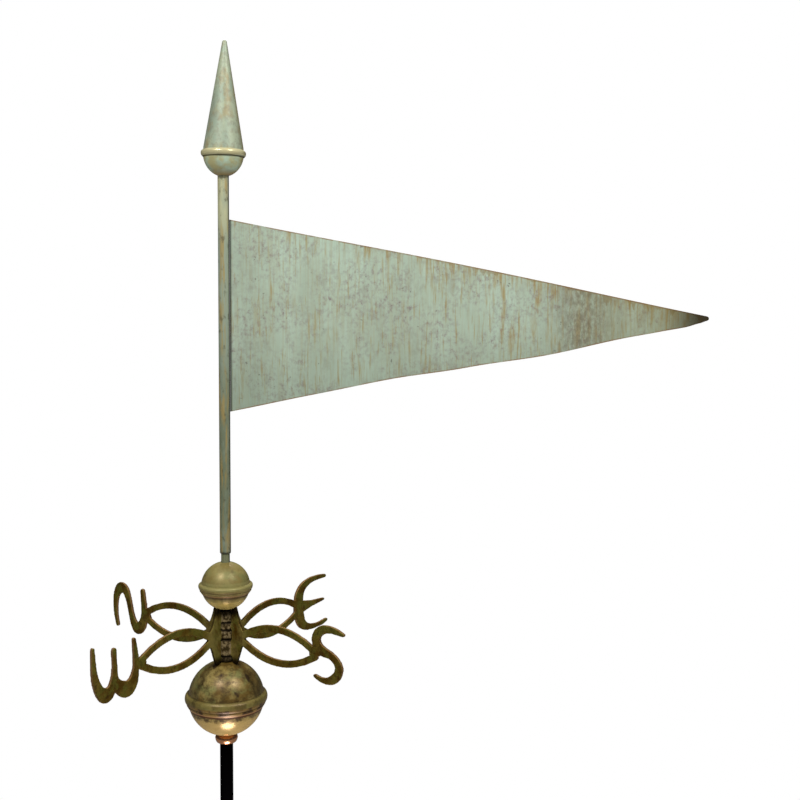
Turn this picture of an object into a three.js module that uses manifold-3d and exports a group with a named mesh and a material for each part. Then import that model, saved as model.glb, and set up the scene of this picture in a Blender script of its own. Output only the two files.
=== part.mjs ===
// A banner weathervane: a steel mast carries two copper globes and a cast brass compass cross,
// and a copper tube with a long pennant and a pointed finial turns on the top of the mast.
// Millimetres, +Z up. The origin is the middle of the mast's flat foot. The pennant points along +X.

import * as THREE from 'three';
import { mergeVertices } from 'three/addons/utils/BufferGeometryUtils.js';
import Module from 'manifold-3d';

const wasm = await Module();
wasm.setup();

// Fits between the pieces
const touchGap = 0.3; // between two pieces that touch
const runningClearance = 0.35; // spindle to the turning tube's lip, on the radius
const tubeClearance = 0.68; // spindle to the tube's bore
const threadingClearance = 0.4; // spindle to the globes and knuckles that it passes through

// Mast rod
const postDiameter = 19.05;
const postHeight = 171.7; // foot to the shoulder that carries the large globe
const spindleDiameter = 12.5;
const spindlePointHeight = 7;
const footChamfer = 1;

// Collar around the top of the post
const collarHeight = 14;
const collarWall = 6.4; // bore to the widest place
const collarLipWall = 3.4; // bore to the rim that meets the globe
const collarFootWall = 1.6; // bore to the lower rim
const collarBulge = [[0.78, 0.16], [1, 0.42], [1, 0.66]]; // shares of the wall and of the height

// Large globe
const largeGlobeRadius = 55.1;
const largeGlobeWall = 0.9;
const largeBandProud = 4.8; // how far the rolled seam stands out
const largeBandRise = 9;
const largeBandDrop = 12.7;

// Small globe
const smallGlobeRadius = 35.2;
const smallGlobeWall = 0.8;
const smallBandProud = 4;
const smallBandRise = 4.5;
const smallBandDrop = 10.7;

// Compass cross
const compassTurn = THREE.MathUtils.degToRad(55.6); // east, counted from the pennant's direction
const plateThickness = 4.5;
const knuckleWall = 5.6;
const knuckleGap = 1;
const knuckleShares = [16.5, 10, 13, 24, 7]; // heights from the top down, as shares of the stack
const finRise = 35; // arm's centre line to the middle of the fin's round head
const finDrop = 38.3; // arm's centre line to the middle of the fin's round foot
const finHeadRadius = 4.5;
const finFootRadius = 4;
const finHeadReach = 5; // knuckle to the middle of the head
const finFootReach = 6.5;
const finWidth = 25; // across the leaf's root
const finAbove = [[0.47, 0.76], [0.68, 0.38]]; // its width, and how far up to the head, as shares
const finBelow = [[0.74, 0.37], [0.56, 0.72]]; // the same towards the foot
const leafInFin = 4.5; // how deep the leaf's inner end reaches into the fin
const leafLength = 130;
const leafRise = 24.4; // centre line of a rib above the arm's centre line
const leafLift = 1; // centre line of the east and north leaves above their arm's
const leafDroop = 2; // centre line of the west and south leaves below their arm's
const ribWidth = 9; // at the letter
const ribRootWidth = 10.6; // at the fin
const ribClosing = 0.58; // centre line of a rib at the leaf's ends, as a share of its width
const letterHeight = 80;

// Vane
const tubeWall = 1.02;
const tubeLift = 13; // small globe to the tube's lower end
const tubeLength = 539; // lower end to the finial's bowl
const tubeInFinial = 24;
const tubeCapThickness = 3;
const tubeLipHeight = 2.4;
const pennantLength = 682;
const pennantHoist = 272.4;
const pennantDrop = 61.2; // finial to the pennant's upper corner
const pennantThickness = 1.4;
const pennantTipRadius = 3;
const pennantTipRise = 1.2; // tip above the middle of the hoist
const pennantRipple = 3.5; // to each side of the flat
const pennantBow = 2.8; // upper edge above its straight line, at the middle
const pennantLowerEdge = [ // below or above its straight line, along the pennant
  [0, 0], [0.17, 1.5], [0.33, 2.6], [0.5, -1.6], [0.67, -5.6], [0.83, -2.6], [0.9, -3.2], [0.955, -3.8],
  [0.985, -2], [1, -0.5],
];

// Finial
const finialLean = THREE.MathUtils.degToRad(0.9); // bent towards the pennant
const finialRadius = 28.6;
const finialWall = 0.9;
const bowlDepth = 32.1;
const coneHeight = 156.2; // seam to the tip
const coneTipRadius = 3.4;
const finialBandProud = 3;
const finialBandRise = 4.3;
const finialBandDrop = 4.4;

// Sides and steps of the round forms
const largeSides = 28;
const smallSides = 24;
const rodSides = 20;
const collarSides = 24;
const knuckleSides = 16;
const strokeStep = 2.5; // along a stroke as it is drawn
const leastAdvance = 0.05; // from one point of a stroke's side to the next
const strokeTolerance = 0.3; // kept between the drawn outline and its straight pieces

// Materials
const verdigris = new THREE.MeshStandardMaterial({ color: 0x9db39a, roughness: 0.7, metalness: 0.3 });
const agedCopper = new THREE.MeshStandardMaterial({ color: 0x8a7c48, roughness: 0.42, metalness: 0.75 });
const castBrass = new THREE.MeshStandardMaterial({ color: 0x5f5026, roughness: 0.5, metalness: 0.7 });
const brightCopper = new THREE.MeshStandardMaterial({ color: 0xd98a5a, roughness: 0.2, metalness: 1 });
const blackSteel = new THREE.MeshStandardMaterial({ color: 0x141414, roughness: 0.45, metalness: 0.5 });

// Shared radii
const postRadius = postDiameter / 2;
const spindleRadius = spindleDiameter / 2;
const tubeBore = spindleRadius + tubeClearance;
const tubeRadius = tubeBore + tubeWall;
const boreRadius = spindleRadius + threadingClearance;
const knuckleRadius = boreRadius + knuckleWall;
const finInner = knuckleRadius + touchGap;

// Helpers for turned and drawn forms

const roundSide = (radius, height) => Math.sqrt(radius ** 2 - height ** 2);

// Turns a profile of [radius, height] points about the Z axis.
function turned(profile, sides) {
  const points = profile.map(([radius, height]) => new THREE.Vector2(radius, height));
  return new THREE.LatheGeometry(points, sides).rotateX(Math.PI / 2);
}

// Points of an elliptical arc about the origin, as [radius, height], between two angles from +Z.
function arc(across, along, from, to, steps) {
  return Array.from({ length: steps + 1 }, (_, i) => {
    const angle = from + ((to - from) * i) / steps;
    return [across * Math.sin(angle), along * Math.cos(angle)];
  });
}

// A rolled seam, from the top down: a bead that leaves the shell squarely, then a skirt.
function bandOutline({ topRadius, rise, radius, drop, edgeRadius, steps }) {
  const skirtPower = 1.5;
  const bead = arc(radius - topRadius, rise, 0, Math.PI / 2, steps)
    .map(([across, height]) => [topRadius + across, height]);
  const skirt = Array.from({ length: steps }, (_, i) => {
    const share = (i + 1) / steps;
    return [edgeRadius + (radius - edgeRadius) * (1 - share ** skirtPower), -drop * share];
  });
  return [...bead, ...skirt];
}

// The outline of a pen stroke through points [x, y, width], with round ends.
function strokeShape(points) {
  const places = points.map((point) => new THREE.Vector3(...point));
  const line = new THREE.CatmullRomCurve3(places, false, 'centripetal');
  const steps = Math.max(3, Math.round(line.getLength() / strokeStep));
  const left = [];
  const right = [];
  const advances = (side, point, along) => {
    const last = side[side.length - 1];
    return !last || point.clone().sub(last).dot(along) > leastAdvance;
  };
  for (let i = 0; i <= steps; i += 1) {
    const { x, y, z: width } = line.getPointAt(i / steps);
    const tangent = line.getTangentAt(i / steps);
    const along = new THREE.Vector2(tangent.x, tangent.y).normalize();
    const across = new THREE.Vector2(-along.y, along.x).multiplyScalar(width / 2);
    const middle = new THREE.Vector2(x, y);
    const leftPoint = middle.clone().add(across);
    const rightPoint = middle.clone().sub(across);
    if (advances(left, leftPoint, along)) left.push(leftPoint);
    if (advances(right, rightPoint, along)) right.push(rightPoint);
  }
  return new THREE.Shape([
    ...thinned(right),
    ...roundEnd(line, 1),
    ...thinned(left).reverse(),
    ...roundEnd(line, 0),
  ]);
}

// The fewest of these points that stay within the tolerance of them all.
function thinned(points) {
  const first = points[0];
  const last = points[points.length - 1];
  const chord = last.clone().sub(first).normalize();
  const offsets = points.map((point) => Math.abs(chord.cross(point.clone().sub(first))));
  const farthest = offsets.indexOf(Math.max(...offsets));
  if (points.length < 3 || offsets[farthest] <= strokeTolerance) return [first, last];
  return [...thinned(points.slice(0, farthest + 1)), ...thinned(points.slice(farthest)).slice(1)];
}

// The points of a stroke's round end, without the two that its sides already have.
function roundEnd(line, at) {
  const capSteps = 4;
  const { x, y, z: width } = line.getPointAt(at);
  const tangent = line.getTangentAt(at);
  const outwards = Math.atan2(tangent.y, tangent.x) + (at === 0 ? Math.PI : 0);
  return Array.from({ length: capSteps - 1 }, (_, i) => {
    const angle = outwards - Math.PI / 2 + (Math.PI * (i + 1)) / capSteps;
    return new THREE.Vector2(x + (width / 2) * Math.cos(angle), y + (width / 2) * Math.sin(angle));
  });
}

// A flat plate of an outline that is drawn as [distance from the mast, height], upright on the XZ plane.
function uprightPlate(shape) {
  const plate = new THREE.ExtrudeGeometry(shape, { depth: plateThickness, bevelEnabled: false });
  return plate.translate(0, 0, -plateThickness / 2).rotateX(Math.PI / 2);
}

function uprightCylinder(radius, bottom, top, sides) {
  const cylinder = new THREE.CylinderGeometry(radius, radius, top - bottom, sides);
  return cylinder.rotateX(Math.PI / 2).translate(0, 0, (top + bottom) / 2);
}

// Booleans

function toSolid(geometry) {
  const bare = geometry.clone();
  bare.deleteAttribute('normal');
  bare.deleteAttribute('uv');
  const merged = mergeVertices(bare);
  return new wasm.Manifold(new wasm.Mesh({
    numProp: 3,
    vertProperties: new Float32Array(merged.attributes.position.array),
    triVerts: new Uint32Array(merged.index.array),
  }));
}

function toGeometry(solid) {
  const { vertProperties, triVerts } = solid.getMesh();
  const geometry = new THREE.BufferGeometry();
  geometry.setAttribute('position', new THREE.BufferAttribute(new Float32Array(vertProperties), 3));
  geometry.setIndex(new THREE.BufferAttribute(new Uint32Array(triVerts), 1));
  geometry.computeVertexNormals();
  return geometry;
}

const joined = (geometries) => geometries.map(toSolid).reduce((whole, piece) => whole.add(piece));

// Heights, stacked from the foot up

const poleOf = (radius) => roundSide(radius, boreRadius);
const largeGlobeZ = postHeight + touchGap + poleOf(largeGlobeRadius);
const finFootX = finInner + finFootReach;
const armZ = largeGlobeZ + roundSide(largeGlobeRadius + finFootRadius + touchGap, finFootX) + finDrop;
const finHeadX = finInner + finHeadReach;
const leafStart = finInner + finWidth - leafInFin;
const smallGlobeZ = armZ + finRise + roundSide(smallGlobeRadius + finHeadRadius + touchGap, finHeadX);
const tubeBottomZ = smallGlobeZ + poleOf(smallGlobeRadius) + tubeLift;
const finialZ = tubeBottomZ + tubeLength;
const tubeTopZ = finialZ + tubeInFinial;
const spindleTopZ = tubeTopZ - tubeCapThickness - touchGap;
const pennantTopZ = finialZ - pennantDrop;

// Mast rod: a stout post, a shoulder, and a thinner pointed spindle

function mastRod() {
  return turned([
    [0, 0],
    [postRadius - footChamfer, 0],
    [postRadius, footChamfer],
    [postRadius, postHeight],
    [spindleRadius, postHeight],
    [spindleRadius, spindleTopZ - spindlePointHeight],
    [0, spindleTopZ],
  ], rodSides);
}

// Copper collar: a rounded ring pushed up against the large globe

function collar() {
  const bore = postRadius + touchGap;
  const lip = bore + collarLipWall;
  const top = largeGlobeZ - roundSide(largeGlobeRadius + touchGap, lip);
  const bottom = top - collarHeight;
  return turned([
    [bore, bottom],
    [bore + collarFootWall, bottom],
    ...collarBulge.map(([across, along]) => [bore + collarWall * across, bottom + collarHeight * along]),
    [lip, top],
    [bore, top - touchGap],
    [bore, bottom],
  ], collarSides);
}

// A globe is two thin spun halves. The upper half's rim is rolled into a bead and a skirt,
// which covers the lower half's rim.

function globeHalves({ radius, wall, proud, rise, drop, sides, steps }) {
  const inner = radius - wall;
  const rimDrop = 1.5; // lower half's rim below the seam
  const pole = Math.asin(boreRadius / radius);
  const innerPole = Math.asin(boreRadius / inner);
  const skirtBore = roundSide(radius, drop) + touchGap;
  const outside = bandOutline({
    topRadius: roundSide(radius, rise),
    rise,
    radius: radius + proud,
    drop,
    edgeRadius: skirtBore + wall,
    steps: 3,
  });
  const inside = bandOutline({
    topRadius: roundSide(inner, rise - wall),
    rise: rise - wall,
    radius: inner + proud,
    drop,
    edgeRadius: skirtBore,
    steps: 2,
  });
  const upper = [
    ...arc(radius, radius, pole, Math.acos(rise / radius), steps),
    ...outside.slice(1),
    ...inside.slice(1).reverse(),
    ...arc(inner, inner, Math.acos((rise - wall) / inner), innerPole, steps),
    [boreRadius, radius * Math.cos(pole)],
  ];
  const lower = [
    ...arc(radius, radius, Math.acos(-rimDrop / radius), Math.PI - pole, steps),
    ...arc(inner, inner, Math.PI - innerPole, Math.acos(-rimDrop / inner), steps),
    [roundSide(radius, rimDrop), -rimDrop],
  ];
  return [turned(upper.reverse(), sides), turned(lower.reverse(), sides)];
}

// Compass cross: two upright brass plates, whose knuckles interleave around the spindle

// Each letter is drawn with a swelling pen, in millimetres from its arm's centre line on a letter that
// is this high: points of [distance from the mast, height, width of the stroke].
const drawnLetterHeight = 80;
const letterStrokes = {
  east: [
    [[230.5, 41.5, 4.5], [219, 42, 6.5], [202, 42, 7.5], [187, 39, 9.5], [174, 32.5, 13.5],
      [166.5, 21, 18], [165, 3, 20], [167, -11, 19.5], [172, -22.5, 16.5], [181, -30, 12],
      [194, -34, 8.5], [211, -35, 6], [225, -34, 6], [235, -31.5, 4]],
    [[227.5, 4, 3], [212, 3.5, 5.5], [194, 3, 9.5], [174, 2.5, 18]],
  ],
  west: [
    [[247.5, 36, 4], [246.5, 11, 7], [243.5, -7, 10], [236, -23, 14.5], [226.5, -29.5, 19.5],
      [217, -23.5, 14], [211.5, -3, 7.5], [212, 27, 6]],
    [[211.5, 3, 6.5], [210.5, -13, 10], [202, -25.5, 18], [190, -30.5, 21.5], [180, -23, 16],
      [175, -7, 8.5], [174, 4, 8], [175.5, 18, 6.5], [177.5, 33, 4.5]],
    [[163, -2, 12], [170, -2, 12]],
  ],
  north: [
    [[172, 37, 7], [169.5, 17, 9], [169.5, -4, 11], [174.5, -17, 15.5], [183.5, -23, 17],
      [191.5, -16, 12], [197.5, -1, 9], [203.5, 21, 9.5], [210.5, 34, 13], [220, 36, 16],
      [229, 26, 11], [232.5, 4, 7], [230.5, -13, 5.5], [228, -23, 5]],
    [[161, -2, 12], [166, -2.5, 14]],
  ],
  south: [
    [[214, 33, 4], [204.5, 35.5, 7], [191.5, 37, 9], [179.5, 35, 11.5], [170.5, 28.5, 12.5],
      [167.5, 19, 13], [171.5, 9.5, 14.5], [180.5, 4.5, 13], [192.5, 1.5, 10], [202, -4.5, 10],
      [207, -13, 11.5], [205, -23.5, 12], [197, -31.5, 12], [186.5, -35.5, 8.5], [175.5, -35, 6],
      [166, -31.5, 4]],
    [[162, -0.5, 12], [171, 4, 14]],
  ],
};

// A letter starts where the leaf ends, and grows outwards from there.
function letter(name) {
  const drawnLeafEnd = 163;
  const scale = letterHeight / drawnLetterHeight;
  const leafEnd = leafStart + leafLength;
  return letterStrokes[name].map((stroke) => strokeShape(stroke.map(([distance, height, width]) => [
    leafEnd + (distance - drawnLeafEnd) * scale,
    height * scale,
    width * scale,
  ])));
}

// One rib of the leaf: a bow that meets its mirror image behind the letter's stem, and widens inwards
// towards the fin.
function rib(side, lift) {
  const halfLength = leafLength / 2;
  const bow = leafRise - ribWidth * ribClosing;
  const overrun = 3; // into the fin and into the letter
  const reach = halfLength + overrun;
  const steps = 6;
  return strokeShape(Array.from({ length: steps + 1 }, (_, i) => {
    const fromMiddle = reach * ((2 * i) / steps - 1);
    const height = leafRise - bow * (fromMiddle / halfLength) ** 2;
    const width = THREE.MathUtils.lerp(ribRootWidth, ribWidth, i / steps);
    const inwards = (width - ribWidth) / 2;
    return [leafStart + halfLength + fromMiddle, side * (height - inwards) + lift, width];
  }));
}

// The fin that stands beside the knuckles and carries an arm, with a round head and foot.
function fin() {
  const against = (across, height) => [finInner + (finWidth * across) / 2, height, finWidth * across];
  return strokeShape([
    [finHeadX, finRise, finHeadRadius * 2],
    ...finAbove.map(([across, along]) => against(across, finRise * along)),
    against(1, 0),
    ...finBelow.map(([across, along]) => against(across, -finDrop * along)),
    [finFootX, -finDrop, finFootRadius * 2],
  ]);
}

// Five knuckles share the height between the two globes. Each plate owns every other one.
function knuckles(owned) {
  const stackTop = smallGlobeZ - poleOf(smallGlobeRadius) - knuckleGap;
  const stackBottom = largeGlobeZ + poleOf(largeGlobeRadius) + knuckleGap;
  const gaps = knuckleGap * (knuckleShares.length - 1);
  const total = knuckleShares.reduce((sum, share) => sum + share, 0);
  const unit = (stackTop - stackBottom - gaps) / total;
  let top = stackTop;
  return knuckleShares.flatMap((share, i) => {
    const bottom = top - share * unit;
    const span = [bottom, top];
    top = bottom - knuckleGap;
    return i % 2 === owned ? [span] : [];
  });
}

// A short bar through the axis that ties a knuckle to the fins on both sides.
function knuckleBar([bottom, top]) {
  const intoFin = 1;
  const reach = finInner + intoFin;
  const low = bottom - armZ;
  const high = top - armZ;
  return new THREE.Shape([
    new THREE.Vector2(-reach, low),
    new THREE.Vector2(reach, low),
    new THREE.Vector2(reach, high),
    new THREE.Vector2(-reach, high),
  ]);
}

// The shapes of one arm as a raised plate, on the +X side, or turned half round on the -X side.
function arm(name, backwards) {
  const lift = backwards ? -leafDroop : leafLift;
  const plates = [fin(), rib(1, lift), rib(-1, lift), ...letter(name)].map(uprightPlate);
  return plates.map((plate) => (backwards ? plate.rotateZ(Math.PI) : plate));
}

function compassPlate(frontLetter, backLetter, owned) {
  const spans = knuckles(owned);
  const rings = spans.map(([bottom, top]) => uprightCylinder(knuckleRadius, bottom, top, knuckleSides));
  const bars = spans.map((span) => uprightPlate(knuckleBar(span)));
  const arms = [...arm(frontLetter, false), ...arm(backLetter, true)];
  const flat = [...bars, ...arms].map((plate) => plate.translate(0, 0, armZ));
  const bore = uprightCylinder(boreRadius, largeGlobeZ, smallGlobeZ, knuckleSides);
  return toGeometry(joined([...rings, ...flat]).subtract(toSolid(bore)));
}

// Vane tube: closed at the top, where it sits on the spindle's point, with a drawn-in lower lip

function vaneTube() {
  const lipBore = spindleRadius + runningClearance;
  const lipEdge = (lipBore + tubeRadius) / 2;
  const roundLip = arc(tubeRadius - lipEdge, tubeLipHeight, Math.PI, Math.PI / 2, 3)
    .map(([across, height]) => [lipEdge + across, tubeBottomZ + tubeLipHeight + height]);
  return turned([
    [0, tubeTopZ - tubeCapThickness],
    [tubeBore, tubeTopZ - tubeCapThickness],
    [tubeBore, tubeBottomZ + tubeLipHeight + tubeWall],
    [lipBore, tubeBottomZ + tubeLipHeight],
    [lipBore, tubeBottomZ],
    ...roundLip,
    [tubeRadius, tubeTopZ],
    [0, tubeTopZ],
  ], rodSides);
}

// Pennant: one thin sheet, narrowing to a rounded tip, a little uneven along its edges and rippled

// A smooth line through points of [share of the length, height], read at any share.
function heightsAlong(points) {
  const shares = points.map(([share]) => share);
  const heights = points.map(([, height]) => height);
  const line = new THREE.CubicInterpolant(shares, heights, 1, [0]);
  return (share) => line.evaluate(share)[0];
}

function pennant() {
  const steps = 24;
  const tipSteps = 4;
  const ripples = 1.15;
  const lowerEdge = heightsAlong(pennantLowerEdge);
  const hoistX = tubeRadius + touchGap;
  const bodyLength = pennantLength - pennantTipRadius;
  const middleZ = pennantTopZ - pennantHoist / 2;
  const section = (x, y, top, bottom) => [
    [x, y - pennantThickness / 2, bottom],
    [x, y + pennantThickness / 2, bottom],
    [x, y + pennantThickness / 2, top],
    [x, y - pennantThickness / 2, top],
  ];
  const sway = (share) => {
    const growth = Math.sin((Math.PI * share) / 2);
    return pennantRipple * growth * Math.sin(2 * Math.PI * ripples * share);
  };
  const body = Array.from({ length: steps + 1 }, (_, i) => {
    const share = i / steps;
    const middle = middleZ + pennantTipRise * share;
    const half = THREE.MathUtils.lerp(pennantHoist / 2, pennantTipRadius, share);
    const top = middle + half + pennantBow * Math.sin(Math.PI * share) ** 2;
    return section(hoistX + bodyLength * share, sway(share), top, middle - half + lowerEdge(share));
  });
  const tip = arc(pennantTipRadius, pennantTipRadius, 0, Math.PI / 2, tipSteps)
    .slice(1, tipSteps)
    .map(([across, half]) => {
      const middle = middleZ + pennantTipRise;
      return section(hoistX + bodyLength + across, sway(1), middle + half, middle - half);
    });
  return loft([...body, ...tip]);
}

// Skins a row of rings that have the same number of corners, and closes both ends.
function loft(rings) {
  const corners = rings[0].length;
  const index = [];
  for (let i = 0; i + 1 < rings.length; i += 1) {
    for (let j = 0; j < corners; j += 1) {
      const next = (j + 1) % corners;
      const a = i * corners + j;
      const b = i * corners + next;
      index.push(a, b, b + corners, a, b + corners, a + corners);
    }
  }
  const last = (rings.length - 1) * corners;
  for (let j = 1; j + 1 < corners; j += 1) {
    index.push(0, j + 1, j);
    index.push(last, last + j, last + j + 1);
  }
  const geometry = new THREE.BufferGeometry();
  geometry.setAttribute('position', new THREE.Float32BufferAttribute(rings.flat(2), 3));
  geometry.setIndex(index);
  geometry.computeVertexNormals();
  return geometry;
}

// Finial: a spun bowl under a spun cone, whose rim is rolled into a bead over the bowl's rim.
// Heights are counted from the seam.

const bowlHole = tubeRadius + touchGap;
const seamHeight = bowlDepth * Math.cos(Math.asin(bowlHole / finialRadius));

function finialBowl() {
  const innerRadius = finialRadius - finialWall;
  const innerDepth = bowlDepth - finialWall;
  return turned([
    ...arc(innerRadius, innerDepth, Math.PI / 2, Math.PI - Math.asin(bowlHole / innerRadius), 4),
    ...arc(finialRadius, bowlDepth, Math.PI - Math.asin(bowlHole / finialRadius), Math.PI / 2, 6),
    [innerRadius, 0],
  ], smallSides);
}

function finialCone() {
  const baseHeight = finialBandRise;
  const tipCentre = coneHeight - coneTipRadius;
  const slope = Math.atan((finialRadius - coneTipRadius) / (tipCentre - baseHeight));
  const tipSteps = 3;
  const tip = arc(coneTipRadius, coneTipRadius, 0, Math.PI / 2 - slope, tipSteps)
    .map(([radius, height]) => [radius, height + tipCentre]);
  const bore = finialRadius + touchGap;
  const band = bandOutline({
    topRadius: finialRadius,
    rise: finialBandRise,
    radius: finialRadius + finialBandProud,
    drop: finialBandDrop,
    edgeRadius: bore + finialWall,
    steps: 3,
  });
  return turned([
    ...tip,
    ...band,
    [bore, -finialBandDrop],
    [bore, touchGap],
    [finialRadius - finialWall, touchGap],
    [finialRadius - finialWall, baseHeight],
    [coneTipRadius - finialWall, tipCentre],
    [0, tipCentre + coneTipRadius - finialWall * 2],
  ].reverse(), smallSides);
}

// Assembly

const weathervane = new THREE.Group();

function place(parent, name, geometry, material, z = 0) {
  const mesh = new THREE.Mesh(geometry, material);
  mesh.name = name;
  mesh.position.z = z;
  parent.add(mesh);
  return mesh;
}

const mast = new THREE.Group();
weathervane.add(mast);
place(mast, 'mast_rod', mastRod(), blackSteel);
place(mast, 'copper_collar', collar(), brightCopper);

const [largeUpper, largeLower] = globeHalves({
  radius: largeGlobeRadius,
  wall: largeGlobeWall,
  proud: largeBandProud,
  rise: largeBandRise,
  drop: largeBandDrop,
  sides: largeSides,
  steps: 6,
});
place(mast, 'large_globe_upper', largeUpper, agedCopper, largeGlobeZ);
place(mast, 'large_globe_lower', largeLower, agedCopper, largeGlobeZ);

const compass = new THREE.Group();
compass.rotation.z = compassTurn;
mast.add(compass);
place(compass, 'directional_east_west', compassPlate('east', 'west', 0), castBrass);
const northPlate = place(compass, 'directional_north_south', compassPlate('north', 'south', 1), castBrass);
northPlate.rotation.z = Math.PI / 2;

const [smallUpper, smallLower] = globeHalves({
  radius: smallGlobeRadius,
  wall: smallGlobeWall,
  proud: smallBandProud,
  rise: smallBandRise,
  drop: smallBandDrop,
  sides: smallSides,
  steps: 5,
});
place(mast, 'small_globe_upper', smallUpper, agedCopper, smallGlobeZ);
place(mast, 'small_globe_lower', smallLower, agedCopper, smallGlobeZ);

const vane = new THREE.Group();
weathervane.add(vane);
place(vane, 'vane_tube', vaneTube(), verdigris);
place(vane, 'pennant', pennant(), verdigris);

const finial = new THREE.Group();
finial.position.z = finialZ;
finial.rotation.y = finialLean;
vane.add(finial);
place(finial, 'finial_bowl', finialBowl(), verdigris, seamHeight);
place(finial, 'finial_cone', finialCone(), verdigris, seamHeight);

export default weathervane;
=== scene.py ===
# A banner weathervane: patinated copper pennant and finial, spun globes and a cast brass compass cross.
# Lengths named here are in millimetres unless they say otherwise; the scene is in metres.

import math

import bmesh
import bpy
import numpy as np
from mathutils import Matrix, Vector, noise


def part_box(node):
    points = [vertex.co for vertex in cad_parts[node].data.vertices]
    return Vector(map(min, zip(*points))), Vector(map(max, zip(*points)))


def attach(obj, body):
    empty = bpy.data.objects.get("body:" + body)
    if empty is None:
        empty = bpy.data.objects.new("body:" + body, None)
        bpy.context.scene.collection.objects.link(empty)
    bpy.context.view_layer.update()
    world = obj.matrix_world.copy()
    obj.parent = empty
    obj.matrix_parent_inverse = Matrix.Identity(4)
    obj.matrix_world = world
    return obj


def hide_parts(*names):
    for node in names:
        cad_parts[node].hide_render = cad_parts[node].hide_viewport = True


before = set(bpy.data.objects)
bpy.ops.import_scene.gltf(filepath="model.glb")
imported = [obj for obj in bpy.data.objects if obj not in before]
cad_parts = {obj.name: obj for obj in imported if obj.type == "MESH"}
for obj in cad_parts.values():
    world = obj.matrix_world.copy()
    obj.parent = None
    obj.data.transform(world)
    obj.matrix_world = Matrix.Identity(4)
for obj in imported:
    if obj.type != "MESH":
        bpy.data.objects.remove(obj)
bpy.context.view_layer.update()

MM = 0.001
TINY = 1e-6


# Meshes


def as_piece(mesh, name, body, nodes, material, sharp_degrees=35.0):
    """A finished mesh as a piece that rides on a body and stands for CAD nodes."""
    shell = bmesh.new()
    shell.from_mesh(mesh)
    bmesh.ops.recalc_face_normals(shell, faces=shell.faces)
    shell.to_mesh(mesh)
    shell.free()
    mesh.name = name
    mesh.shade_smooth()
    mesh.set_sharp_from_angle(angle=math.radians(sharp_degrees))
    mesh.materials.clear()
    mesh.materials.append(material)
    piece = bpy.data.objects.new(name, mesh)
    bpy.context.scene.collection.objects.link(piece)
    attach(piece, body)
    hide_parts(*nodes)


def turned(profile, segments, transform=None):
    """A mesh turned about the Z axis from a profile that closes on itself or on the axis."""
    rings = []
    places = []
    for radius, height in profile:
        if radius < TINY:
            rings.append([len(places)] * segments)
            places.append(Vector((0, 0, height * MM)))
            continue
        rings.append([len(places) + k for k in range(segments)])
        for k in range(segments):
            turn = math.tau * k / segments
            places.append(Vector((radius * math.cos(turn), radius * math.sin(turn), height)) * MM)
    faces = []
    on_axis = profile[0][0] < TINY
    following = rings[1:] if on_axis else rings[1:] + rings[:1]
    for ring, after in zip(rings, following):
        for k in range(segments):
            around = (k + 1) % segments
            corners = [ring[k], ring[around], after[around], after[k]]
            face = [c for i, c in enumerate(corners) if c not in corners[:i]]
            if len(face) > 2:
                faces.append(face)
    if transform is not None:
        places = [transform @ place for place in places]
    mesh = bpy.data.meshes.new("turned")
    mesh.from_pydata(places, [], faces)
    return mesh


def arc(across, along, start, end, steps):
    """Points [radius, height] of an elliptical arc about the origin, between two angles from +Z."""
    angles = [start + (end - start) * i / steps for i in range(steps + 1)]
    return [(across * math.sin(a), along * math.cos(a)) for a in angles]


def moved(points, radius=0.0, height=0.0):
    return [(r + radius, h + height) for r, h in points]


def catmull_rom(p, q, r, s, t):
    """The value a share t of the way from q to r, with p before them and s after them."""
    first = (r - p) * t
    second = (2 * p - 5 * q + 4 * r - s) * t**2
    third = (3 * q - p - 3 * r + s) * t**3
    return 0.5 * (2 * q + first + second + third)


def smooth_curve(points, steps):
    """A Catmull-Rom line through points, with steps between each two."""
    ends = [points[0], *points, points[-1]]
    made = []
    for quad in zip(ends, ends[1:], ends[2:], ends[3:]):
        for i in range(steps):
            made.append(tuple(catmull_rom(*values, i / steps) for values in zip(*quad)))
    return [*made, points[-1]]


def limited(value, low=0.0, high=1.0):
    return min(max(value, low), high)


# Mast

POST_RADIUS = 9.525
POST_CHAMFER = 1
SHOULDER = 171.7
SPINDLE_RADIUS = 6.25
SPINDLE_POINT = 7
SPINDLE_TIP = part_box("mast_rod")[1].z / MM
COLLAR_BOTTOM, COLLAR_TOP = [corner.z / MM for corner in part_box("copper_collar")]
COLLAR_BORE = POST_RADIUS + 0.3
COLLAR_WALL = 6.35
ROD_SEGMENTS = 64
RING_SEGMENTS = 96


def mast_rod():
    return turned([
        (0, 0),
        (POST_RADIUS - POST_CHAMFER, 0),
        (POST_RADIUS, POST_CHAMFER),
        (POST_RADIUS, SHOULDER - POST_CHAMFER / 2),
        (POST_RADIUS - POST_CHAMFER / 2, SHOULDER),
        (SPINDLE_RADIUS, SHOULDER),
        (SPINDLE_RADIUS, SPINDLE_TIP - SPINDLE_POINT),
        (0, SPINDLE_TIP),
    ], ROD_SEGMENTS)


def collar():
    height = COLLAR_TOP - COLLAR_BOTTOM
    bulge = smooth_curve([
        (COLLAR_BORE + 1.6, COLLAR_BOTTOM),
        (COLLAR_BORE + 4.7, COLLAR_BOTTOM + height * 0.14),
        (COLLAR_BORE + COLLAR_WALL, COLLAR_BOTTOM + height * 0.42),
        (COLLAR_BORE + COLLAR_WALL, COLLAR_BOTTOM + height * 0.66),
        (COLLAR_BORE + 3.4, COLLAR_TOP),
    ], 6)
    return turned([(COLLAR_BORE, COLLAR_BOTTOM), *bulge, (COLLAR_BORE, COLLAR_TOP - 0.3)], RING_SEGMENTS)


# Globes: each half is a thin spun shell, and the upper one's rim is rolled into a bead and a skirt

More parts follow.
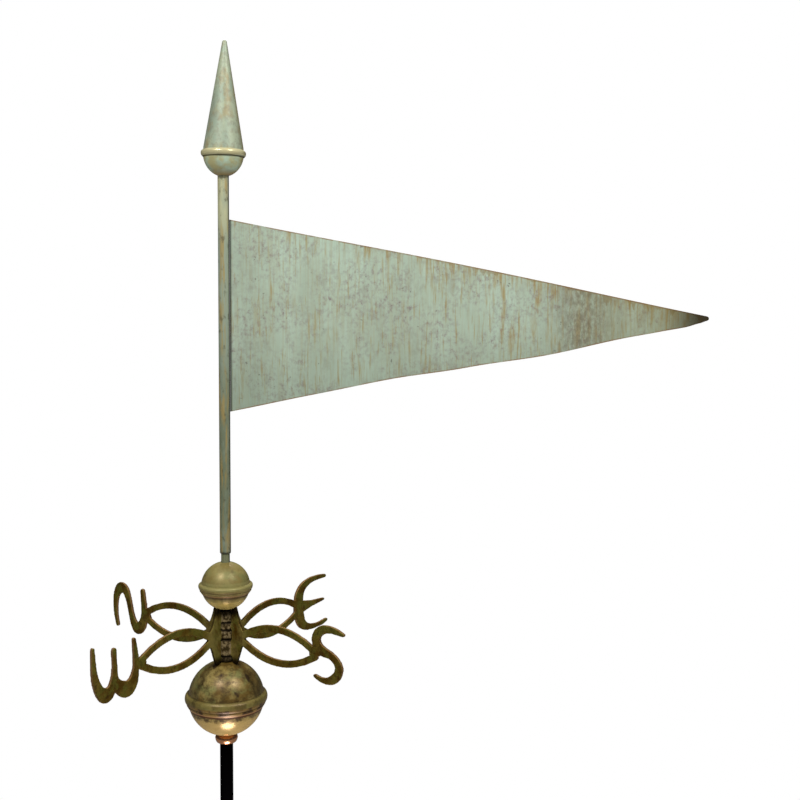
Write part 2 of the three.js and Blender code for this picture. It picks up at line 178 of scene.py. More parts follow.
GLOBE_BORE = SPINDLE_RADIUS + 0.4
GLOBE_SEGMENTS = 144
LOWER_RIM = 1.5
SKIRT_CLEARANCE = 0.3
INNER_CLEARANCE = 0.6
CREASE_SHARE = 0.46
LARGE = {"radius": 55.1, "wall": 0.9, "proud": 4.8, "rise": 9, "drop": 12.7}
SMALL = {"radius": 35.2, "wall": 0.8, "proud": 4, "rise": 4.5, "drop": 10.7}


def globe_halves(radius, wall, proud, rise, drop):
    """Profiles of the upper and lower half, counted from the seam."""
    inner = radius - wall
    pole = math.asin(GLOBE_BORE / radius)
    inner_pole = math.asin(GLOBE_BORE / inner)
    shoulder = math.sqrt(radius**2 - rise**2)
    skirt_bore = math.sqrt(radius**2 - drop**2) + SKIRT_CLEARANCE
    widest = radius + proud
    swell = widest - shoulder
    crease = -drop * CREASE_SHARE
    bead = smooth_curve([
        (shoulder, rise),
        (shoulder + swell * 0.28, rise * 0.93),
        (shoulder + swell * 0.80, rise * 0.60),
        (widest - 0.02, rise * 0.12),
        (shoulder + swell * 0.88, crease * 0.55),
        (shoulder + swell * 0.55, crease * 0.95),
    ], 4)
    skirt = smooth_curve([
        (shoulder + swell * 0.50, crease * 1.05),
        (shoulder + swell * 0.52, -drop * 0.62),
        (skirt_bore + wall + 0.5, -drop * 0.88),
        (skirt_bore + wall * 0.6, -drop),
    ], 4)
    upper = [
        *arc(radius, radius, pole, math.acos(rise / radius), 40),
        *bead[1:],
        *skirt,
        (skirt_bore, -drop + 0.2),
        (inner + INNER_CLEARANCE, crease),
        (inner + INNER_CLEARANCE, 0),
        *arc(inner, inner, math.acos((rise - wall) / inner), inner_pole, 24),
    ]
    lower = [
        *arc(radius, radius, math.acos(-LOWER_RIM / radius), math.pi - pole, 40),
        *arc(inner, inner, math.pi - inner_pole, math.acos(-LOWER_RIM / inner), 24),
    ]
    return upper, lower


# Vane tube

TUBE_RADIUS = 7.95
TUBE_BOTTOM, TUBE_TOP = [corner.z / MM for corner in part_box("vane_tube")]
TUBE_BORE = SPINDLE_RADIUS + 0.68
TUBE_CAP = 3
TUBE_RINGS = 40
LIP_BORE = SPINDLE_RADIUS + 0.35
LIP_HEIGHT = 2.4
TUBE_IN_FINIAL = 24
FINIAL_Z = TUBE_TOP - TUBE_IN_FINIAL


def vane_tube():
    middle = (LIP_BORE + TUBE_RADIUS) / 2
    straight = TUBE_TOP - TUBE_BOTTOM - LIP_HEIGHT
    lip = arc(TUBE_RADIUS - middle, LIP_HEIGHT, math.pi, math.pi / 2, 8)
    outside = [
        (TUBE_RADIUS, TUBE_BOTTOM + LIP_HEIGHT + straight * i / TUBE_RINGS)
        for i in range(1, TUBE_RINGS + 1)
    ]
    return turned([
        (0, TUBE_TOP - TUBE_CAP),
        (TUBE_BORE, TUBE_TOP - TUBE_CAP),
        (TUBE_BORE, TUBE_BOTTOM + LIP_HEIGHT + 1),
        (LIP_BORE, TUBE_BOTTOM + LIP_HEIGHT),
        (LIP_BORE, TUBE_BOTTOM + 0.4),
        *moved(lip, middle, TUBE_BOTTOM + LIP_HEIGHT),
        *outside,
        (0, TUBE_TOP),
    ], ROD_SEGMENTS)


# Pennant

PENNANT_TIP_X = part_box("pennant")[1].x / MM
HOIST_X = TUBE_RADIUS + 0.3
PENNANT_LENGTH = 682
PENNANT_HOIST = 272.4
PENNANT_TOP = FINIAL_Z - 61.2
PENNANT_THICKNESS = 1.4
TIP_RADIUS = 3
TIP_RISE = 1.2
UPPER_BULGE = 2.8
SWAY = 3.5
SWAY_WAVES = 1.15
DENT = 0.25
DENT_LENGTH = 55
DENT_HEIGHT = 80
PENNANT_COLUMNS = 300
PENNANT_ROWS = 56
# The lower edge's places [share of the length, rise above a straight line], where it turns
LOWER_EDGE = [
    (0, 0), (0.17, 1.5), (0.33, 2.6), (0.5, -1.6), (0.67, -5.6), (0.83, -2.6), (0.9, -3.2), (0.955, -3.8),
    (0.985, -2), (1, -0.5),
]


def between(points, share):
    """The height of a line through points [share, height], smoothed at each of them."""
    for (a, low), (b, high) in zip(points, points[1:]):
        if share <= b:
            t = (share - a) / (b - a)
            return low + (high - low) * t * t * (3 - 2 * t)
    return points[-1][1]


def pennant_edges(reach):
    """The upper and lower edge's heights, and the sheet's sway, at a distance from the hoist."""
    body_length = PENNANT_LENGTH - TIP_RADIUS
    least_half = 0.2
    share = min(reach / body_length, 1)
    half = PENNANT_HOIST / 2 + (TIP_RADIUS - PENNANT_HOIST / 2) * share
    if reach > body_length:
        half = math.sqrt(max(TIP_RADIUS**2 - (reach - body_length) ** 2, least_half**2))
    middle = PENNANT_TOP - PENNANT_HOIST / 2 + TIP_RISE * share
    top = middle + half + UPPER_BULGE * math.sin(math.pi * share) ** 2
    bottom = middle - half + between(LOWER_EDGE, share)
    sway = SWAY * math.sin(math.pi * share / 2) * math.sin(math.tau * SWAY_WAVES * share)
    return top, bottom, sway


def pennant():
    """The sheet's mesh, with each vertex's distance from the nearer long edge and from the upper one."""
    places = []
    from_edge = []
    from_top = []
    for i in range(PENNANT_COLUMNS + 1):
        reach = (PENNANT_TIP_X - HOIST_X) * i / PENNANT_COLUMNS
        top, bottom, sway = pennant_edges(reach)
        ring = []
        for j in range(PENNANT_ROWS + 1):
            height = top + (bottom - top) * j / PENNANT_ROWS
            dent = noise.noise(Vector((reach / DENT_LENGTH, 0, height / DENT_HEIGHT))) * DENT
            ring.append((height, sway + dent))
        front = [(height, y - PENNANT_THICKNESS / 2) for height, y in ring]
        back = [(height, y + PENNANT_THICKNESS / 2) for height, y in reversed(ring)]
        for height, y in [*front, *back]:
            places.append(Vector((HOIST_X + reach, y, height)) * MM)
            from_edge.append(max(min(top - height, height - bottom), 0.0))
            from_top.append(max(top - height, 0.0))
    count = 2 * (PENNANT_ROWS + 1)
    faces = []
    for i in range(PENNANT_COLUMNS):
        for j in range(count):
            after = (j + 1) % count
            a = i * count
            faces.append((a + j, a + after, a + count + after, a + count + j))
    faces.append(tuple(range(count)))
    faces.append(tuple(PENNANT_COLUMNS * count + j for j in range(count)))
    mesh = bpy.data.meshes.new("sheet")
    mesh.from_pydata(places, [], faces)
    add_values(mesh, from_edge=from_edge, from_top=from_top)
    return mesh


def add_values(mesh, **values_by_name):
    """Stores one number for each vertex under each name, for the materials to read."""
    for name, values in values_by_name.items():
        layer = mesh.attributes.new(name, "FLOAT", "POINT")
        layer.data.foreach_set("value", np.array(values, np.float32))


# Finial

FINIAL_LEAN = math.radians(0.9)
FINIAL_RADIUS = 28.6
FINIAL_WALL = 0.9
BOWL_DEPTH = 32.1
BOWL_HOLE = TUBE_RADIUS + 0.3
CONE_HEIGHT = 156.2
CONE_TIP = 3.4
CONE_RINGS = 30
BEAD_RISE = 4.3
BEAD_DROP = 4.4
BEAD_PROUD = 3
SEAM = BOWL_DEPTH * math.cos(math.asin(BOWL_HOLE / FINIAL_RADIUS))
FINIAL_PLACE = (
    Matrix.Translation((0, 0, FINIAL_Z * MM))
    @ Matrix.Rotation(FINIAL_LEAN, 4, "Y")
    @ Matrix.Translation((0, 0, SEAM * MM))
)


def finial_bowl():
    inner = FINIAL_RADIUS - FINIAL_WALL
    inner_hole = math.pi - math.asin(BOWL_HOLE / inner)
    outer_hole = math.pi - math.asin(BOWL_HOLE / FINIAL_RADIUS)
    return turned([
        *arc(inner, BOWL_DEPTH - FINIAL_WALL, math.pi / 2, inner_hole, 24),
        *arc(FINIAL_RADIUS, BOWL_DEPTH, outer_hole, math.pi / 2, 40),
    ], RING_SEGMENTS, FINIAL_PLACE)


def finial_cone():
    tip_centre = CONE_HEIGHT - CONE_TIP
    slope = math.atan((FINIAL_RADIUS - CONE_TIP) / (tip_centre - BEAD_RISE))
    tip_side = CONE_TIP * math.cos(slope)
    tip_side_height = tip_centre + CONE_TIP * math.sin(slope)
    bore = FINIAL_RADIUS + 0.3
    tip = arc(CONE_TIP, CONE_TIP, math.pi / 24, math.pi / 2 - slope, 8)
    shares = [i / CONE_RINGS for i in range(1, CONE_RINGS)]
    flank = [
        (tip_side + (FINIAL_RADIUS - tip_side) * t, tip_side_height + (BEAD_RISE - tip_side_height) * t)
        for t in shares
    ]
    bead = smooth_curve([
        (FINIAL_RADIUS - 0.3, BEAD_RISE + 0.6),
        (FINIAL_RADIUS + BEAD_PROUD * 0.42, BEAD_RISE * 0.86),
        (FINIAL_RADIUS + BEAD_PROUD * 0.88, BEAD_RISE * 0.5),
        (FINIAL_RADIUS + BEAD_PROUD - 0.02, 0),
        (FINIAL_RADIUS + BEAD_PROUD * 0.86, -BEAD_DROP * 0.5),
        (bore + FINIAL_WALL, -BEAD_DROP),
    ], 4)
    return turned([
        (0, CONE_HEIGHT),
        *moved(tip, height=tip_centre),
        *flank,
        *bead,
        (bore, -BEAD_DROP),
        (bore, 0.3),
        (FINIAL_RADIUS - FINIAL_WALL, 0.3),
        (FINIAL_RADIUS - FINIAL_WALL, BEAD_RISE),
        (CONE_TIP - FINIAL_WALL, tip_centre),
        (0, CONE_HEIGHT - 2 * FINIAL_WALL),
    ], RING_SEGMENTS, FINIAL_PLACE)


# Compass cross: the cast plates get soft edges and a slightly rough skin

COMPASS_TURN = math.radians(55.6)
KNUCKLE_RADIUS = 12.5
KNUCKLE_SHARES = [16.5, 10, 13, 24, 7]
KNUCKLE_GAP = 1
HUB_REACH = 46
HUB_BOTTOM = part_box("large_globe_upper")[1].z / MM
HUB_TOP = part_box("small_globe_lower")[0].z / MM
HUB_MIDDLE_Z = (HUB_TOP + HUB_BOTTOM) / 2
HUB_HALF = (HUB_TOP - HUB_BOTTOM) / 2
FADE = 10
LETTERS_FROM = 140
LETTER_SWELL = 0.4
CAST_VOXEL = 0.8
CAST_SKIN = 0.15
CAST_ROUGHNESS = 0.22
COARSE_GRAIN = 3.4
FINE_GRAIN = 1.3
LUMP_REACH = 16
LUMP_SIZE = 4.2
LUMP_HEIGHT = 0.9


def knuckle_gaps():
    """Heights of the gaps between the knuckles, from the top down."""
    top = HUB_MIDDLE_Z + HUB_HALF - KNUCKLE_GAP
    unit = (2 * HUB_HALF - KNUCKLE_GAP * (len(KNUCKLE_SHARES) + 1)) / sum(KNUCKLE_SHARES)
    gaps = []
    for share in KNUCKLE_SHARES[:-1]:
        top -= share * unit + KNUCKLE_GAP
        gaps.append(top + KNUCKLE_GAP / 2)
    return gaps


def remeshed(node):
    """A CAD node's mesh in small even faces with softened edges."""
    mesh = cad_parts[node].data.copy()
    shell = bmesh.new()
    shell.from_mesh(mesh)
    bmesh.ops.remove_doubles(shell, verts=shell.verts, dist=TINY)
    shell.to_mesh(mesh)
    shell.free()
    raw = bpy.data.objects.new(node + "_raw", mesh)
    bpy.context.scene.collection.objects.link(raw)
    remesh = raw.modifiers.new("voxels", "REMESH")
    remesh.mode = "VOXEL"
    remesh.voxel_size = CAST_VOXEL * MM
    soften = raw.modifiers.new("soften", "SMOOTH")
    soften.factor = 0.5
    soften.iterations = 3
    graph = bpy.context.evaluated_depsgraph_get()
    made = bpy.data.meshes.new_from_object(raw.evaluated_get(graph))
    bpy.data.objects.remove(raw)
    return made


def cast_depth(place, reach):
    """How far the skin stands out at a place: grain all over, and lumps near the axis."""
    grain = 0.6 * noise.noise(place / COARSE_GRAIN) + 0.4 * noise.noise(place / FINE_GRAIN)
    lump = LUMP_HEIGHT * (noise.noise(place / LUMP_SIZE) - 0.1)
    return CAST_ROUGHNESS * grain + max(0.0, 1 - reach / LUMP_REACH) * lump + CAST_SKIN


def cast_plate(node, turn):
    """The dressed plate, with what its material reads for each vertex.

    side is 1 on walls across the plate and 0 on its faces, knuckle is 1 on the knuckles, and hub falls
    from 1 at the fins to 0 at the ribs. The letters' walls swell a little, inside the CAD plate's box.
    """
    made = remeshed(node)
    normals = [vertex.normal.copy() for vertex in made.vertices]
    across = Vector((-math.sin(turn), math.cos(turn), 0))
    side = [1 - abs(normal.dot(across)) for normal in normals]
    lowest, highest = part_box(node)
    places = []
    for vertex, normal, wall in zip(made.vertices, normals, side):
        place = vertex.co / MM
        reach = math.hypot(place.x, place.y)
        swell = LETTER_SWELL * wall * limited((reach - LETTERS_FROM) / FADE)
        out = vertex.co + normal * (cast_depth(place, reach) + swell) * MM
        places.append([limited(c, low, high) for c, low, high in zip(out, lowest, highest)])
    made.vertices.foreach_set("co", np.array(places, np.float32).ravel())
    distances = [math.hypot(x, y) / MM for x, y, z in places]
    knuckle = [1.0 if distance < KNUCKLE_RADIUS else 0.0 for distance in distances]
    hub = [limited((HUB_REACH - distance) / FADE) for distance in distances]
    add_values(made, side=side, knuckle=knuckle, hub=hub)
    made.update()
    return made


# Materials: places and widths in them are in metres, and noise is in features per metre


class Paint:
    """One material, and short calls that wire its nodes."""

    def __init__(self, name, metallic=0.0, roughness=0.5, gloss=0.5, gloss_tint=(1.0, 1.0, 1.0)):
        self.material = bpy.data.materials.new(name)
        self.material.use_nodes = True
        self.tree = self.material.node_tree
        self.shader = self.tree.nodes["Principled BSDF"]
        self.shader.inputs["Metallic"].default_value = metallic
        self.shader.inputs["Roughness"].default_value = roughness
        self.shader.inputs["Specular IOR Level"].default_value = gloss
        self.shader.inputs["Specular Tint"].default_value = (*gloss_tint, 1)
        self.coordinates = self.tree.nodes.new("ShaderNodeTexCoord")
        self.coat = None

    def put(self, socket, value):
        if isinstance(value, bpy.types.NodeSocket):
            self.tree.links.new(value, socket)
        elif isinstance(value, tuple) and len(value) == 3 and socket.type == "RGBA":
            socket.default_value = (*value, 1)
        else:
            socket.default_value = value

    def math(self, operation, a, b=0.0):
        node = self.tree.nodes.new("ShaderNodeMath")
        node.operation = operation
        self.put(node.inputs[0], a)
        self.put(node.inputs[1], b)
        return node.outputs[0]

    def plus(self, a, b):
        return self.math("ADD", a, b)

    def minus(self, a, b):
        return self.math("SUBTRACT", a, b)

    def times(self, a, b):
        return self.math("MULTIPLY", a, b)

    def off(self, value, middle):
        """How far a value is from a middle one, either way."""
        return self.math("ABSOLUTE", self.minus(value, middle))

    def noise(self, per_metre, detail, roughness, shift=0.0):
        """Noise from 0 to 1; per_metre is how many features fit in a metre along X, Y and Z."""
        mapping = self.tree.nodes.new("ShaderNodeMapping")
        self.put(mapping.inputs["Vector"], self.coordinates.outputs["Object"])
        mapping.inputs["Scale"].default_value = per_metre
        mapping.inputs["Location"].default_value = (shift, shift * 0.7, shift * 1.3)
        node = self.tree.nodes.new("ShaderNodeTexNoise")
        self.put(node.inputs["Vector"], mapping.outputs[0])
        node.inputs["Scale"].default_value = 1.0
        node.inputs["Detail"].default_value = detail
        node.inputs["Roughness"].default_value = roughness
        return node.outputs["Fac"]

    def step(self, value, low, high, top=1.0):
        """0 below low, top above high, smooth between; with low the larger, 0 above it and top below high."""
        node = self.tree.nodes.new("ShaderNodeMapRange")
        node.interpolation_type = "SMOOTHSTEP"
        self.put(node.inputs["Value"], value)
        node.inputs["From Min"].default_value = min(low, high)
        node.inputs["From Max"].default_value = max(low, high)
        node.inputs["To Min"].default_value = 0.0 if low < high else top
        node.inputs["To Max"].default_value = top if low < high else 0.0
        return node.outputs["Result"]

    def mix(self, factor, a, b):
        node = self.tree.nodes.new("ShaderNodeMix")
        node.data_type = "RGBA"
        self.put(node.inputs["Factor"], factor)
        self.put(node.inputs[6], a)
        self.put(node.inputs[7], b)
        return node.outputs[2]

    def over(self, share, tone):
        """Lays a tone over the colour so far."""
        self.coat = self.mix(share, self.coat, tone)

    def axis(self, letter):
        node = self.tree.nodes.new("ShaderNodeSeparateXYZ")
        self.put(node.inputs[0], self.coordinates.outputs["Object"])
        return node.outputs[letter]

    def attribute(self, name):
        node = self.tree.nodes.new("ShaderNodeAttribute")
        node.attribute_name = name
        return node.outputs["Fac"]

    def flank(self):
        """0 where the piece's surface faces its front, its back, up or down, 1 where it faces a side."""
        parts = self.tree.nodes.new("ShaderNodeSeparateXYZ")
        self.put(parts.inputs[0], self.coordinates.outputs["Normal"])
        sideways = self.times(parts.outputs["X"], parts.outputs["X"])
        return self.minus(1.0, self.math("SQRT", self.minus(1.0, sideways)))

    def metallic(self, value):
        self.put(self.shader.inputs["Metallic"], value)

    def roughness(self, value):
        self.put(self.shader.inputs["Roughness"], value)

    def bump(self, height, strength, distance):
        node = self.tree.nodes.new("ShaderNodeBump")
        node.inputs["Strength"].default_value = strength
        node.inputs["Distance"].default_value = distance
        self.put(node.inputs["Height"], height)
        self.put(self.shader.inputs["Normal"], node.outputs[0])

    def painted(self):
        """The material, with the colour so far as its base colour."""
        self.put(self.shader.inputs["Base Color"], self.coat)
        return self.material


def verdigris_sheet():
    """Pale green with fine upright streaks, ochre drips, mauve speckle, dark pits and browned edges, with
    painted shade low down, next to the tube and along the hoist, and a darker middle band that is partly
    painted shade.

    from_top and from_edge, and what they are compared with, are in millimetres.
    """
    paint = Paint("verdigris_pennant", roughness=0.62, gloss=0.25)
    across = paint.axis("X")
    from_top = paint.attribute("from_top")
    from_edge = paint.attribute("from_edge")

    dull_green = (0.415, 0.51, 0.39)
    pale_green = (0.49, 0.615, 0.485)
    olive_streak = (0.42, 0.42, 0.27)
    green_streak = (0.46, 0.56, 0.44)
    cloud = paint.noise((14.0, 14.0, 6.0), 3.0, 0.55)
    streak = paint.noise((330.0, 30.0, 11.0), 3.0, 0.6)
    light_streak = paint.noise((210.0, 30.0, 6.0), 2.0, 0.5, shift=7.0)
    paint.coat = paint.mix(paint.step(cloud, 0.36, 0.64), dull_green, pale_green)
    paint.over(paint.step(streak, 0.42, 0.70, 0.5), olive_streak)
    paint.over(paint.step(light_streak, 0.48, 0.68, 0.4), green_streak)

    mauve = (0.28, 0.225, 0.215)
    dark_mauve = (0.17, 0.12, 0.11)
    sooty_green = (0.27, 0.25, 0.20)
    speckle = paint.noise((150.0, 60.0, 125.0), 6.0, 0.72, shift=3.0)
    speckled = paint.noise((17.0, 17.0, 13.0), 3.0, 0.55, shift=11.0)
    coarse = paint.noise((62.0, 40.0, 40.0), 5.0, 0.65, shift=31.0)
    paint.over(paint.times(paint.step(speckle, 0.44, 0.68), paint.step(speckled, 0.36, 0.60, 0.72)), mauve)
    flecks = paint.times(paint.step(speckle, 0.62, 0.72), paint.step(speckled, 0.46, 0.60, 0.6))
    paint.over(flecks, dark_mauve)
    paint.over(paint.step(coarse, 0.50, 0.70, 0.34), sooty_green)

    ochre = (0.36, 0.23, 0.05)
    more_drips = paint.plus(paint.step(from_top, 30, 0, 0.05), paint.step(across, 0.10, 0.60, 0.04))
    for per_metre, upright, shift, strength in ((150.0, 13.0, 19.0, 0.60), (290.0, 19.0, 43.0, 0.55)):
        drip = paint.plus(paint.noise((per_metre, 20.0, upright), 4.0, 0.62, shift=shift), more_drips)
        paint.over(paint.step(drip, 0.56, 0.72, strength), ochre)

    edge_brown = (0.27, 0.17, 0.04)
    bleeding = paint.noise((60.0, 20.0, 8.0), 4.0, 0.65, shift=12.0)
    depth = paint.plus(paint.step(bleeding, 0.52, 0.72, 14.0), paint.step(bleeding, 0.36, 0.56, 1.5))
    bled = paint.step(paint.minus(from_top, depth), 2.0, 0.0)
    paint.over(paint.times(bled, paint.step(across, 0.05, 0.50, 0.55)), edge_brown)

    # A darker grey-brown band across the middle of the sheet: partly painted shade of the sheet's ripple,
    # partly a mottled stain.
    patch_middle = 0.512
    patch_reach = 0.070
    patch_shade_and_stain = (0.19, 0.17, 0.115)
    patch = paint.step(paint.off(across, patch_middle), patch_reach, 0.0)
    patch_noise = paint.noise((190.0, 20.0, 90.0), 5.0, 0.7, shift=50.0)
    paint.over(paint.times(patch, paint.step(patch_noise, 0.26, 0.70, 0.9)), patch_shade_and_stain)

    pit = (0.13, 0.10, 0.09)
    painted_shade_green = (0.12, 0.16, 0.11)
    tip_olive = (0.22, 0.19, 0.07)
    pits = paint.noise((120.0, 60.0, 120.0), 2.0, 0.6, shift=5.0)
    # Painted shade: the sheet goes darker green towards the bottom and next to the tube, where less light
    # reaches.
    low_down = paint.step(paint.axis("Z"), 0.78, 0.655, 0.26)
    by_the_tube = paint.step(across, 0.08, 0.008, 0.10)
    paint.over(paint.step(pits, 0.69, 0.77, 0.6), pit)
    paint.over(paint.plus(low_down, by_the_tube), painted_shade_green)
    paint.over(paint.step(across, 0.44, 0.66, 0.48), tip_olive)

    rim_brown = (0.25, 0.13, 0.05)
    burnt_tip = (0.028, 0.018, 0.004)
    hoist_shade_and_dirt = (0.03, 0.03, 0.02)
    rim_noise = paint.noise((60.0, 20.0, 60.0), 3.0, 0.6, shift=2.0)
    uneven = paint.step(rim_noise, 0.30, 0.55, 0.8)
    paint.over(paint.times(paint.step(from_edge, 2.4, 0.5), uneven), rim_brown)
    paint.over(paint.step(across, 0.615, 0.685, 0.95), burnt_tip)
    # Painted shade: a near-black line along the hoist where the sheet meets the tube, with some dirt in the
    # joint.
    paint.over(paint.step(across, 0.0125, 0.0090, 0.9), hoist_shade_and_dirt)
    paint.bump(paint.plus(speckle, streak), 0.22, 0.0006)
    return paint.painted()


def verdigris_tube():
    """The sheet's green, yellower at the top and dull below, with painted shade on its sides, a dark line
    along the seam that is mostly painted shade, and a painted shadow under its lower end.
    """
    paint = Paint("verdigris_tube", 0.15, 0.45)
    height = paint.axis("Z")
    dull_green = (0.20, 0.235, 0.145)
    green = (0.37, 0.43, 0.31)
    top_yellow = (0.58, 0.58, 0.34)
    pale_green = (0.34, 0.42, 0.33)
    ochre = (0.46, 0.31, 0.08)
    dark_spot = (0.09, 0.08, 0.045)
    pale = paint.noise((90.0, 90.0, 20.0), 4.0, 0.6, shift=17.0)
    streak = paint.noise((150.0, 150.0, 12.0), 4.0, 0.6)
    spots = paint.noise((130.0, 130.0, 70.0), 5.0, 0.65, shift=4.0)
    paint.coat = paint.mix(paint.step(height, 0.60, 0.82), dull_green, green)
    paint.over(paint.step(height, 0.875, 0.935), top_yellow)
    paint.over(paint.step(pale, 0.46, 0.66, 0.5), pale_green)
    paint.over(paint.step(streak, 0.47, 0.62, 0.7), ochre)
    paint.over(paint.step(spots, 0.53, 0.68, 0.65), dark_spot)

    painted_tube_side_shade = (0.12, 0.085, 0.03)
    seam_shade_and_dirt = (0.03, 0.028, 0.015)
    lip_shadow = (0.015, 0.015, 0.012)
    # Painted shade: the tube is browned where it faces the sides.
    paint.over(paint.step(paint.flank(), 0.45, 0.95, 0.75), painted_tube_side_shade)
    # Painted shade: a dark line down the tube's side where the pennant joins it, with some dirt along the
    # seam.
    paint.over(paint.step(paint.axis("X"), 0.0066, 0.0079, 0.9), seam_shade_and_dirt)
    paint.over(paint.step(height, 0.4445, 0.4400, 0.85), lip_shadow)
    paint.bump(spots, 0.2, 0.0004)
    return paint.painted()


def verdigris_finial():
    """Green with ochre patches, a golden bead and a brown underside, with painted shade where it faces the
    sides and a painted shadow under the bead.
    """
    paint = Paint("verdigris_finial")
    height = paint.axis("Z")
    seam_z = (FINIAL_Z + SEAM) * MM
    dull_green = (0.32, 0.395, 0.29)
    green = (0.42, 0.475, 0.32)
    ochre_patch = (0.36, 0.26, 0.10)
    speckle_brown = (0.22, 0.19, 0.14)
    cloud = paint.noise((34.0, 34.0, 16.0), 4.0, 0.6)
    ochre = paint.noise((64.0, 64.0, 30.0), 4.0, 0.62, shift=9.0)
    speckle = paint.noise((170.0, 170.0, 140.0), 6.0, 0.7, shift=2.0)
    paint.coat = paint.mix(paint.step(cloud, 0.38, 0.64), dull_green, green)
    paint.over(paint.step(ochre, 0.50, 0.68, 0.6), ochre_patch)
    paint.over(paint.step(speckle, 0.46, 0.64, 0.42), speckle_brown)

    golden = (0.86, 0.77, 0.42)
    bowl_green = (0.62, 0.80, 0.60)
    bowl_gold = (0.62, 0.57, 0.26)
    painted_bowl_side_shade = (0.47, 0.40, 0.14)
    gold = paint.step(paint.off(height, seam_z + 0.0002), 0.0050, 0.0036)
    bowl = paint.step(height, seam_z - 0.003, seam_z - 0.006)
    bowl_noise = paint.noise((40.0, 40.0, 40.0), 4.0, 0.6, shift=23.0)
    bowl_tone = paint.mix(paint.step(bowl_noise, 0.38, 0.58), bowl_green, bowl_gold)
    # Painted shade: the bowl turns darker ochre where it faces the sides.
    bowl_tone = paint.mix(paint.step(paint.flank(), 0.24, 0.60, 0.7), bowl_tone, painted_bowl_side_shade)
    paint.over(paint.times(gold, 0.75), golden)
    paint.over(paint.times(bowl, 0.85), bowl_tone)

    underside = (0.42, 0.25, 0.07)
    painted_under_bead_shadow = (0.10, 0.06, 0.015)
    painted_side_olive_shade = (0.24, 0.20, 0.08)
    painted_side_brown_shade = (0.25, 0.14, 0.04)
    flank = paint.flank()
    paint.over(paint.step(height, seam_z - 0.021, seam_z - 0.031, 0.85), underside)
    # Painted shadow: a dark line on the bowl just under the bead.
    paint.over(paint.step(paint.off(height, seam_z - 0.0052), 0.0012, 0.0005, 0.7), painted_under_bead_shadow)
    # Painted shade: olive, then brown, where the finial faces the sides.
    paint.over(paint.step(flank, 0.42, 0.80, 0.5), painted_side_olive_shade)
    paint.over(paint.step(flank, 0.66, 0.96, 0.6), painted_side_brown_shade)
    shine = paint.plus(gold, paint.times(bowl, 0.8))
    paint.metallic(paint.plus(paint.times(gold, 0.2), 0.1))
    paint.roughness(paint.minus(0.5, paint.times(shine, 0.2)))
    paint.bump(speckle, 0.15, 0.0004)
    return paint.painted()


LARGE_TONES = {
    "olive": (0.38, 0.29, 0.09),
    "brown": (0.16, 0.095, 0.017),
    "bead": (0.225, 0.185, 0.045),
    "skirt_dark": (0.04, 0.018, 0.002),
    "skirt_light": (0.23, 0.145, 0.030),
    "under": (0.52, 0.38, 0.13),
}
SMALL_TONES = {
    "olive": (0.34, 0.29, 0.10),
    "brown": (0.28, 0.22, 0.065),
    "bead": (0.35, 0.31, 0.11),
    "skirt_dark": (0.26, 0.20, 0.06),
    "skirt_light": (0.36, 0.29, 0.09),
    # Much brighter than the brass: a painted highlight where the small globe's lower half would catch light
    # from below.
    "under": (0.95, 0.72, 0.22),
}


